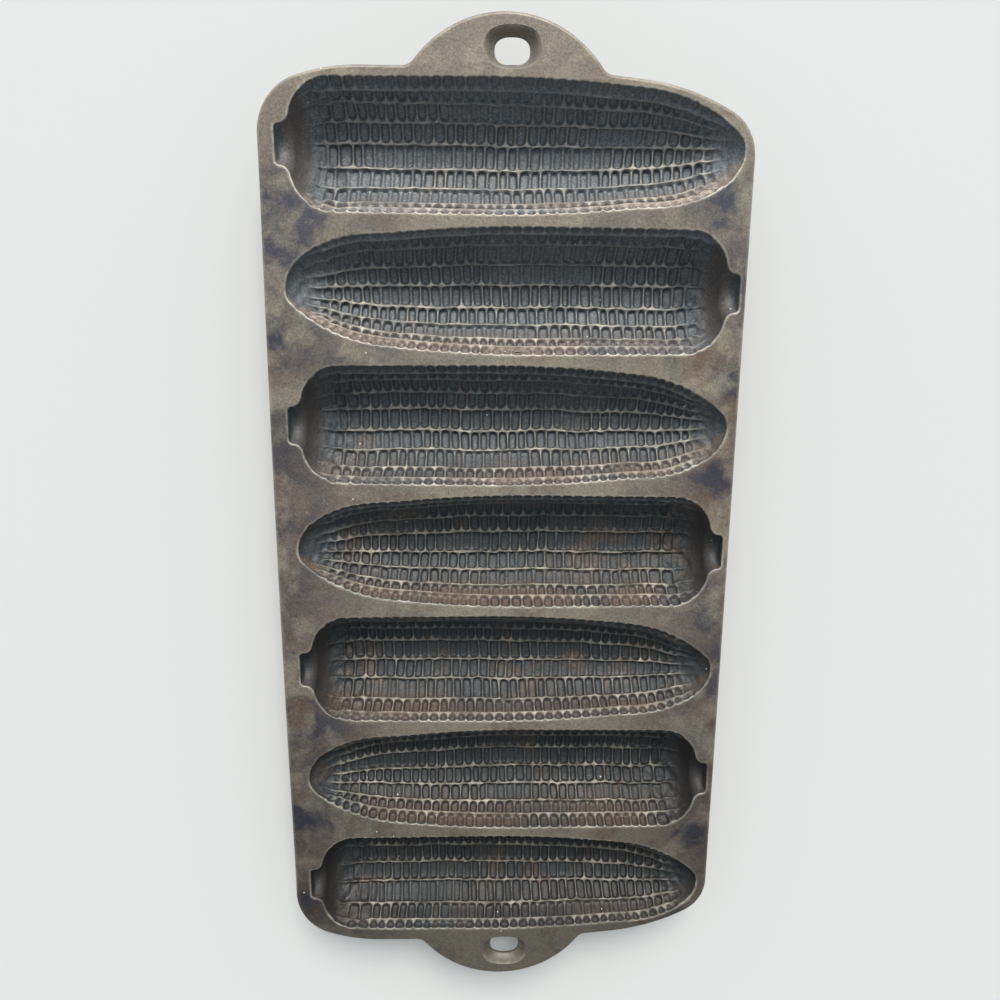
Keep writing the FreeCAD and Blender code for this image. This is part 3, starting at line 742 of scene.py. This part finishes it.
def finish_mesh(bm, name):
    """Merges doubled vertices, scales from mm to metres and makes the object."""
    bmesh.ops.remove_doubles(bm, verts=bm.verts, dist=MERGE_GAP)
    bmesh.ops.recalc_face_normals(bm, faces=bm.faces)
    bmesh.ops.scale(bm, verts=bm.verts, vec=(mm, mm, mm))
    for face in bm.faces:
        face.smooth = True
    mesh = bpy.data.meshes.new(name)
    bm.to_mesh(mesh)
    open_edges = sum(len(edge.link_faces) != 2 for edge in bm.edges)
    bm.free()
    mesh.set_sharp_from_angle(angle=math.radians(SHARP_DEGREES))
    piece = bpy.data.objects.new(name, mesh)
    bpy.context.scene.collection.objects.link(piece)
    triangles = sum(len(polygon.vertices) - 2 for polygon in mesh.polygons)
    print(f"{name}: {triangles} triangles, {open_edges} open or doubled edges")
    return piece


# %% Make the ear cups
EARS, FIRST_SEED, BACK_SOOT = range(1, 8), 100, 0.8
# How much brown crust each ear's lower wall carries, partly crust and partly painted light, from ear 1 to ear
# 7.
BROWNING_AND_LIGHT = (0.50, 0.60, 0.75, 0.90, 0.90, 0.90, 0.50)
# A cup's flange stays this far inside the deck's edge.
EDGE_MARGIN = 0.7
# Between these distances from the ear's middle, flat fills use every fourth point of its outline.
FOOT_END, FOOT_EVERY = 61.5, 4


def ear_place(number):
    """The way an ear points along X (1 or -1), and its middle along Y."""
    return (1 if number % 2 else -1), (4 - number) * PITCH


def open_rim(bm):
    """The edges with a single face, in the mesh's own order."""
    return [edge for edge in bm.edges if edge.is_boundary]


def thin_out(bm, side):
    """Keeps every fourth point of the extruded edge, along one long side."""
    foot = [v for v in bm.verts if v.is_boundary and v.co.y * side > 0 and abs(v.co.x) < FOOT_END]
    foot.sort(key=lambda vertex: vertex.co.x)
    bmesh.ops.dissolve_verts(bm, verts=[v for i, v in enumerate(foot) if i % FOOT_EVERY])


def make_ear(number):
    """One cup, modelled in the ear's own frame and then set in its place."""
    way, middle = ear_place(number)

    def deck_room(x, y):
        """How far a flange may reach before it meets the deck's edge."""
        return edge_room(EAR_SHIFT + way * x, middle + way * y) - EDGE_MARGIN

    bm = bmesh.new()
    layers = {name: bm.verts.layers.float.new(name) for name in ("wear_and_highlight", "soot_and_shade", "brown")}
    cavity_sheet(bm, layers, np.random.default_rng(FIRST_SEED + number), -way, BROWNING_AND_LIGHT[number - 1])
    bmesh.ops.remove_doubles(bm, verts=bm.verts, dist=MERGE_GAP)
    made = bmesh.ops.extrude_edge_only(bm, edges=open_rim(bm))["geom"]
    for vertex in [item for item in made if isinstance(item, bmesh.types.BMVert)]:
        vertex.co.z = UNDERSIDE_Z + TUCK
    for side in (-1, 1):
        thin_out(bm, side)
    wall_foot = open_rim(bm)
    for vertex in back_sheet(bm, deck_room):
        vertex[layers["soot_and_shade"]] = BACK_SOOT
    known = set(wall_foot)
    back_rim = [edge for edge in open_rim(bm) if edge not in known]
    fill_flat(bm, wall_foot + back_rim, 1.0)
    if way < 0:
        bmesh.ops.rotate(bm, verts=bm.verts, cent=(0.0, 0.0, 0.0), matrix=Matrix.Rotation(math.pi, 3, "Z"))
    bmesh.ops.translate(bm, verts=bm.verts, vec=(EAR_SHIFT, middle, 0.0))
    return finish_mesh(bm, f"ear_{number}")


ears = {number: make_ear(number) for number in EARS}

# %% [markdown]
# ## The deck and its lugs
#
# The plate is modelled from its outline. Its edge is a band of rings, one for each step of the section
# of a cast edge: a soft round above and a tight one below. The ears' openings and the slots are bands
# too, and the flat faces between all of them are then filled. The openings use points of the cups' lips,
# though only every fourth along the nearly straight sides, so no seam shows between them.

# %% The section of the deck's edge
EDGE_ROUND, EDGE_BREAK, LAND = 1.1, 0.5, 0.05
ROUND_ANGLES, BREAK_ANGLES = (90.0, 72.0, 54.0, 36.0, 18.0, 0.0), (0.0, 30.0, 60.0, 90.0)
# The soft top round is painted paler, partly as wear and partly as painted highlight.
ROUND_WEAR_AND_HIGHLIGHT, BREAK_WEAR = 0.35, 0.2


def edge_section():
    """Steps of (inwards from the outline, height, wear and painted highlight), from the flat top to the flat
    underside.
    """
    steps = [(EDGE_ROUND + LAND, DECK_Z, 0.0)]
    for turn in map(math.radians, ROUND_ANGLES):
        inset, z = EDGE_ROUND * (1 - math.cos(turn)), DECK_Z - EDGE_ROUND * (1 - math.sin(turn))
        steps.append((inset, z, ROUND_WEAR_AND_HIGHLIGHT * math.sin(2 * turn)))
    for turn in map(math.radians, BREAK_ANGLES):
        inset, z = EDGE_BREAK * (1 - math.cos(turn)), UNDERSIDE_Z + EDGE_BREAK * (1 - math.sin(turn))
        steps.append((inset, z, BREAK_WEAR))
    steps.append((EDGE_BREAK + LAND, UNDERSIDE_Z, 0.0))
    return steps


def loop_normals(line):
    """Outward normals of a closed line that runs anticlockwise."""
    step = np.roll(line, -1, axis=0) - np.roll(line, 1, axis=0)
    step /= np.linalg.norm(step, axis=1)[:, None]
    return np.column_stack([step[:, 1], -step[:, 0]])


def band(bm, rings, layer=None, worn_and_lit=None):
    """A closed strip of faces through loops of places, one after another."""
    places = np.stack([np.vstack([ring, ring[:1]]) for ring in rings], axis=1)
    extra = None if layer is None else {layer: np.tile(worn_and_lit, (len(places), 1))}
    return sheet(bm, places, extra)


print("steps over the deck's edge:", len(edge_section()))


# %% Hanging slots
SLOT_X, SLOT_Y, LOW_SLOT_SHIFT = 1.1, 153.2, 1.7
# Down the dished wall of a slot: (in from the mouth, down from the deck, wear).
DISH = (
    (0.0, 0.0, 0.0), (0.12, 0.1, 0.35), (0.35, 0.42, 0.75),
    (0.7, 1.1, 0.2), (1.5, 2.0, 0.0), (2.35, 2.75, 0.0),
    (2.8, 3.1, 0.1), (3.0, 3.4, 0.0), (3.0, 4.0, 0.0),
)
MOUTH_HALF, SLOT_HALF, SLOT_TURN = (16.8 / 2, 12.0 / 2), (10.6 / 2, 7.8 / 2), 5.0
# An oval's coordinates raised to a power below 1 fill its corners.
SLOT_POWER = 0.80
LEVEL_BAND = 0.01


def slot_ring(share, height, station):
    """A slot outline between the mouth (0) and the through opening (1)."""
    half_x = MOUTH_HALF[0] + share * (SLOT_HALF[0] - MOUTH_HALF[0])
    half_y = MOUTH_HALF[1] + share * (SLOT_HALF[1] - MOUTH_HALF[1])
    turn = np.radians(np.arange(0.0, 360.0, SLOT_TURN))
    across, up = np.cos(turn), np.sin(turn)
    x = half_x * np.sign(across) * np.abs(across) ** SLOT_POWER
    y = half_y * np.sign(up) * np.abs(up) ** SLOT_POWER
    return at_height(np.column_stack([x + SLOT_X, y + station]), height)


def ear_opening():
    """The loop round an ear's opening in the deck, in the ear's own frame."""
    sparse = np.arange(len(cavity_line)) % FOOT_EVERY == 0
    sparse |= np.abs(cavity_line[:, 0]) > FOOT_END
    lips = []
    for side in (1, -1):
        edge, outward = plan_edge(cavity_line, side, RIM_DEPTH)
        lips.append((edge + outward * LIP_WIDTH)[sparse] * (1.0, side))
    return np.vstack([lips[0], lips[1][-2:0:-1]])


def plate_mesh():
    """The whole plate with its lugs: edge, ear openings and slots, then the two flat sides."""
    bm = bmesh.new()
    wear_and_highlight = bm.verts.layers.float.new("wear_and_highlight")
    bm.verts.layers.float.new("soot_and_shade")
    bm.verts.layers.float.new("brown")
    outward, section = loop_normals(outline), edge_section()
    rings = [at_height(outline - outward * inset, height) for inset, height, _ in section]
    band(bm, rings, wear_and_highlight, [worn_and_lit for _, _, worn_and_lit in section])
    around = ear_opening()
    for number in EARS:
        way, middle = ear_place(number)
        plan = around * way + (EAR_SHIFT, middle)
        band(bm, [at_height(plan, DECK_Z), at_height(plan, UNDERSIDE_Z)])
    for station in (SLOT_Y, -SLOT_Y - LOW_SLOT_SHIFT):
        rings = [slot_ring(inset / DISH[-1][0], DECK_Z - down, station) for inset, down, _ in DISH]
        band(bm, rings, wear_and_highlight, [worn_and_lit for _, _, worn_and_lit in DISH])
    bmesh.ops.remove_doubles(bm, verts=bm.verts, dist=MERGE_GAP)
    for height, up in ((DECK_Z, 1.0), (UNDERSIDE_Z, -1.0)):
        fill_flat(bm, [e for e in open_rim(bm) if abs(e.verts[0].co.z - height) < LEVEL_BAND], up)
    bmesh.ops.recalc_face_normals(bm, faces=bm.faces)
    print("plate:", len(bm.faces), "faces,", sum(not e.is_manifold for e in bm.edges), "open edges")
    return bm


plate = plate_mesh()


# %% Part the lugs from the deck
CUT_GAP = 1e-4


def part_of_plate(name, cuts):
    """A copy of the plate, cut at each (place along Y, side kept) and closed again."""
    bm = plate.copy()
    for y, keep in cuts:
        everything = bm.verts[:] + bm.edges[:] + bm.faces[:]
        place, way = (0.0, y, 0.0), (0.0, -keep, 0.0)
        cut = bmesh.ops.bisect_plane(
            bm, geom=everything, dist=CUT_GAP, plane_co=place, plane_no=way, clear_outer=True
        )["geom_cut"]
        rim = [item for item in cut if isinstance(item, bmesh.types.BMEdge)]
        bmesh.ops.triangle_fill(bm, use_beauty=True, edges=rim)
    return finish_mesh(bm, name)


deck = part_of_plate("deck", [(LUG_ROOT, -1), (-LUG_ROOT, 1)])
lugs = {
    "upper_lug": part_of_plate("lug_upper", [(LUG_ROOT, 1)]),
    "lower_lug": part_of_plate("lug_lower", [(-LUG_ROOT, -1)]),
}
plate.free()

# %% [markdown]
# ## Seasoned iron
#
# Old bakeware is iron under a thin skin of burnt-on oil. Where it is thick, in the moulds, it is a
# blue-black satin. On the flat deck, hands and trays have worn it to warm grey-brown iron, with darker
# and rusty patches. Ridges and rims are rubbed bright, and on the side that faces the window they are
# painted brighter still as painted highlight. Moulds and deck are painted paler towards the upper end,
# as painted light from the window. One material holds all of this. Three vertex attributes say where
# the skin is rubbed and carries painted highlight, where it is thick and carries painted shade in its
# crevices, and where it is crusted and carries painted light on the lower walls. Noise on object
# coordinates breaks everything up. Object coordinates run through all the pieces, so no patch ends at a
# seam.


# %% Node helpers
class Nodes:
    """Adds shader nodes and links them by plain calls."""

    def __init__(self, material):
        self.tree = material.node_tree
        self.place = self.tree.nodes.new("ShaderNodeTexCoord").outputs["Object"]
        split = self.add("ShaderNodeSeparateXYZ", {0: self.place})
        self.along_pan = split.outputs["Y"]
        self.from_middle = self.math("ABSOLUTE", split.outputs["X"], 0.0)

    def add(self, kind, inputs=None, **settings):
        """A node with these settings, whose inputs take values or links."""
        node = self.tree.nodes.new(kind)
        for name, value in settings.items():
            setattr(node, name, value)
        for name, value in (inputs or {}).items():
            if isinstance(value, bpy.types.NodeSocket):
                self.tree.links.new(value, node.inputs[name])
            else:
                node.inputs[name].default_value = value
        return node

    def noise(self, size, detail=3.0, roughness=0.55, distortion=0.0):
        """Cloudy noise round 0.5, with blots of about this size."""
        inputs = {"Vector": self.place, "Scale": 1.0 / size, "Detail": detail, "Roughness": roughness}
        inputs["Distortion"] = distortion
        return self.add("ShaderNodeTexNoise", inputs).outputs["Fac"]

    def remap(self, value, low, high, out_low=0.0, out_high=1.0):
        """Goes from out_low to out_high while the value goes from low to high."""
        inputs = {"Value": value, "From Min": low, "From Max": high, "To Min": out_low, "To Max": out_high}
        return self.add("ShaderNodeMapRange", inputs).outputs["Result"]

    def mix(self, share, first, second, blend="MIX"):
        """The first colour with this share of the second."""
        node = self.add("ShaderNodeMix", data_type="RGBA", blend_type=blend)
        for socket, value in (("Factor", share), ("A", first), ("B", second)):
            target = [item for item in node.inputs if item.name == socket and item.enabled][0]
            if isinstance(value, bpy.types.NodeSocket):
                self.tree.links.new(value, target)
            else:
                target.default_value = value if socket == "Factor" else (*value, 1.0)
        return [item for item in node.outputs if item.enabled][0]

    def tint(self, colour, by, share=1.0):
        """The colour multiplied by another colour or level."""
        return self.mix(share, colour, by, blend="MULTIPLY")

    def math(self, operation, first, second):
        return self.add("ShaderNodeMath", {0: first, 1: second}, operation=operation).outputs[0]

    def times(self, first, second):
        return self.math("MULTIPLY", first, second)

    def plus(self, first, second):
        return self.math("ADD", first, second)

    def larger(self, first, second):
        return self.math("MAXIMUM", first, second)

    def attribute(self, name):
        return self.add("ShaderNodeAttribute", attribute_name=name).outputs["Fac"]


# %% The deck's colour
DECK_IRON, DECK_DARK, DECK_PALE = (0.181, 0.149, 0.121), (0.056, 0.056, 0.074), (0.31, 0.275, 0.205)
DECK_SIDES, RUST = (0.78, 0.74, 0.77), (0.13, 0.078, 0.055)
# Dark stains on the deck, as (x, y, size) in mm.
STAINS = (
    (-71, 101, 13), (66, 112, 8), (71, 58, 6), (70, 24, 7),
    (70, -23, 6), (-71, 69, 7), (-71, 6, 6), (-71, -43, 6),
    (-68, -62, 13), (-69, -100, 9), (-68, -135, 10), (68, -67, 6),
    (-56, -62, 8), (70, -106, 6),
)


def dark_patches(n):
    """Clouds everywhere but on the upper lug, and the stains with their ragged edges."""
    clouds = n.remap(n.noise(24 * mm, 5.0, 0.62, 0.5), 0.44, 0.62)
    patches = n.times(clouds, n.remap(n.along_pan, 0.14, 0.125, 0.0, 0.75))
    ragged = n.remap(n.noise(11 * mm, 5.0, 0.65, 0.4), 0.3, 0.7, -0.7, 0.7)
    for x, y, size in STAINS:
        centre = (x * mm, y * mm, DECK_Z * mm)
        away = n.add("ShaderNodeVectorMath", {0: n.place, 1: centre}, operation="DISTANCE").outputs["Value"]
        stain = n.plus(n.remap(away, 1.5 * size * mm, 0.0), ragged)
        near = n.remap(away, 2.0 * size * mm, 1.4 * size * mm)
        patches = n.larger(patches, n.remap(n.times(stain, near), 0.15, 0.75))
    return patches


def deck_tone(n, rust_patch):
    """Warm grey iron: darker along the sides, paler in the middle, with dark and rusty patches."""
    tone = n.mix(dark_patches(n), DECK_IRON, DECK_DARK)
    sides = n.times(n.remap(n.from_middle, 0.036, 0.058), n.remap(n.along_pan, 0.10, 0.05))
    tone = n.tint(tone, DECK_SIDES, sides)
    middle = n.remap(n.from_middle, 0.068, 0.020, 0.0, 0.45)
    middle = n.times(middle, n.remap(n.along_pan, 0.142, 0.134))
    middle = n.times(middle, n.remap(n.along_pan, 0.05, -0.11, 1.0, 1.6))
    pale_patch = n.remap(n.noise(15 * mm, 5.0, 0.6, 0.3), 0.48, 0.64)
    tone = n.mix(n.larger(middle, n.times(pale_patch, 0.6)), tone, DECK_PALE)
    return n.mix(n.times(rust_patch, n.remap(n.along_pan, 0.15, 0.06, 0.2, 0.75)), tone, RUST)


print("stains on the deck:", len(STAINS))

# %% The colour of the moulds and of worn iron, with painted light and shade
# Crevice darkening is partly grime and partly painted shade. The brown is crust and rust, and on the lower
# walls also painted light.
SOOT, SOOT_BROWN_AND_LIGHT, CREVICE_GRIME_AND_SHADE = (0.076, 0.083, 0.090), (0.205, 0.140, 0.098), (0.035, 0.036, 0.040)
# The worn colour is partly bare iron and partly painted highlight.
WORN_AND_HIGHLIGHT, WHITE, DUST, DUST_GAP = (0.57, 0.515, 0.43), (1.0, 1.0, 1.0), (0.75, 0.73, 0.68), 5.5


def mould_tone(n, rust_patch):
    """Blue-black skin, with brown crust, which on the lower walls is partly painted light, and more
    rust towards the lower end.
    """
    brown = n.times(rust_patch, n.remap(n.along_pan, 0.06, -0.06, 0.15, 0.8))
    return n.mix(n.larger(brown, n.attribute("brown")), SOOT, SOOT_BROWN_AND_LIGHT)


def speckled(n, tone, soot_and_shade, speckle):
    """The tone under a fine speckle, which is stronger in the moulds."""
    flecks = n.remap(speckle, 0.3, 0.7, 0.6, 1.42)
    return n.tint(tone, n.mix(n.remap(soot_and_shade, 0.0, 0.5, 0.75, 1.0), WHITE, flecks))


def with_painted_light(n, tone, soot_and_shade):
    """Painted light: the tone made paler towards the window's upper end, in the moulds more than on the deck.
    """
    deck_painted_light = n.remap(n.along_pan, -0.15, 0.0, 0.38, 1.0)
    upper_half = n.remap(n.along_pan, 0.0, 0.126, 0.0, 1.35)
    mould_painted_light = n.plus(n.remap(n.along_pan, -0.126, 0.0, 0.38, 0.74), upper_half)
    return n.tint(tone, n.mix(n.remap(soot_and_shade, 0.0, 0.5), deck_painted_light, mould_painted_light))


def used(n, tone, soot_and_shade, wear_and_highlight):
    """The tone with black crevices where soot is thickest, partly grime and partly painted shade, and bare
    iron where rubbed, partly wear and partly painted highlight. Both are painted paler towards the
    upper end as painted light.
    """
    crevice_grime_and_shade = n.tint(CREVICE_GRIME_AND_SHADE, n.remap(n.along_pan, -0.126, 0.05, 0.45, 1.1))
    tone = n.mix(n.times(n.remap(soot_and_shade, 0.6, 1.0), 0.85), tone, crevice_grime_and_shade)
    rubbed_and_lit = n.times(wear_and_highlight, n.remap(n.noise(8 * mm, 4.0, 0.6), 0.38, 0.62, 0.25, 1.0))
    rubbed_and_lit = n.times(rubbed_and_lit, n.remap(n.noise(1.8 * mm, 2.0, 0.6), 0.35, 0.6, 0.5, 1.0))
    return n.mix(rubbed_and_lit, tone, n.tint(WORN_AND_HIGHLIGHT, n.remap(n.along_pan, -0.15, 0.1, 0.60, 1.0)))


def dusted(n, tone):
    """The tone with rare pale specks: the centres of some cells of a Voronoi pattern."""
    cells = n.add("ShaderNodeTexVoronoi", {"Vector": n.place, "Scale": 1.0 / (DUST_GAP * mm)})
    speck = n.remap(cells.outputs["Distance"], 0.052, 0.032)
    chance = n.add("ShaderNodeSeparateColor", {0: cells.outputs["Color"]}).outputs[0]
    return n.mix(n.times(speck, n.remap(chance, 0.74, 0.76)), tone, DUST)


# %% The iron
GRAIN_SIZE, GRAIN_HEIGHT, SPECKLE_SIZE, SPECKLE_HEIGHT = 1.6 * mm, 0.20 * mm, 0.6 * mm, 0.13 * mm


def bump(n, height, strength, distance, below=None):
    """A bumpy normal, on top of another one if given."""
    inputs = {"Height": height, "Strength": strength, "Distance": distance}
    if below is not None:
        inputs["Normal"] = below
    return n.add("ShaderNodeBump", inputs).outputs[0]


def seasoned_iron():
    """The one material of the whole casting."""
    material = bpy.data.materials.new("seasoned_iron")
    material.use_nodes = True
    n = Nodes(material)
    wear_and_highlight, soot_and_shade = n.attribute("wear_and_highlight"), n.attribute("soot_and_shade")
    grain, speckle = n.noise(GRAIN_SIZE, 3.0, 0.6), n.noise(SPECKLE_SIZE, 2.0, 0.6)
    rust_patch = n.remap(n.noise(19 * mm, 5.0, 0.65, 0.6), 0.53, 0.68)
    tone = n.mix(n.remap(soot_and_shade, 0.0, 0.6), deck_tone(n, rust_patch), mould_tone(n, rust_patch))
    # Painted light and shade: paler towards the upper end, darker crevices and brighter rubbed iron.
    tone = with_painted_light(n, speckled(n, tone, soot_and_shade, speckle), soot_and_shade)
    tone = dusted(n, used(n, tone, soot_and_shade, wear_and_highlight))
    polish = n.remap(n.noise(9 * mm, 4.0, 0.6), 0.3, 0.7, 0.38, 0.54)
    grit = n.remap(soot_and_shade, 0.0, 0.5, 0.35, 1.0)
    grains = bump(n, n.times(grain, grit), 0.6, GRAIN_HEIGHT)
    surface = n.tree.nodes["Principled BSDF"]
    surface.inputs["Metallic"].default_value = 0.2
    surface.inputs["Specular IOR Level"].default_value = 0.5
    n.tree.links.new(tone, surface.inputs["Base Color"])
    n.tree.links.new(n.plus(polish, n.remap(soot_and_shade, 0.0, 0.5, 0.0, 0.12)), surface.inputs["Roughness"])
    fine = bump(n, n.times(speckle, grit), 0.9, SPECKLE_HEIGHT, grains)
    n.tree.links.new(fine, surface.inputs["Normal"])
    return material


iron = seasoned_iron()
for piece in [deck, *lugs.values(), *ears.values()]:
    piece.data.materials.append(iron)
print("nodes in the iron:", len(iron.node_tree.nodes))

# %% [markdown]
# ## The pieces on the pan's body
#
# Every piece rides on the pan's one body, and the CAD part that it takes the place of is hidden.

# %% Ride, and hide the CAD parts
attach(deck, "root")
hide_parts("deck_plate")
for node, lug in lugs.items():
    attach(lug, "root")
    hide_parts(node)
for number, cup in ears.items():
    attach(cup, "root")
    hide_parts(f"ear_cup_{number}")
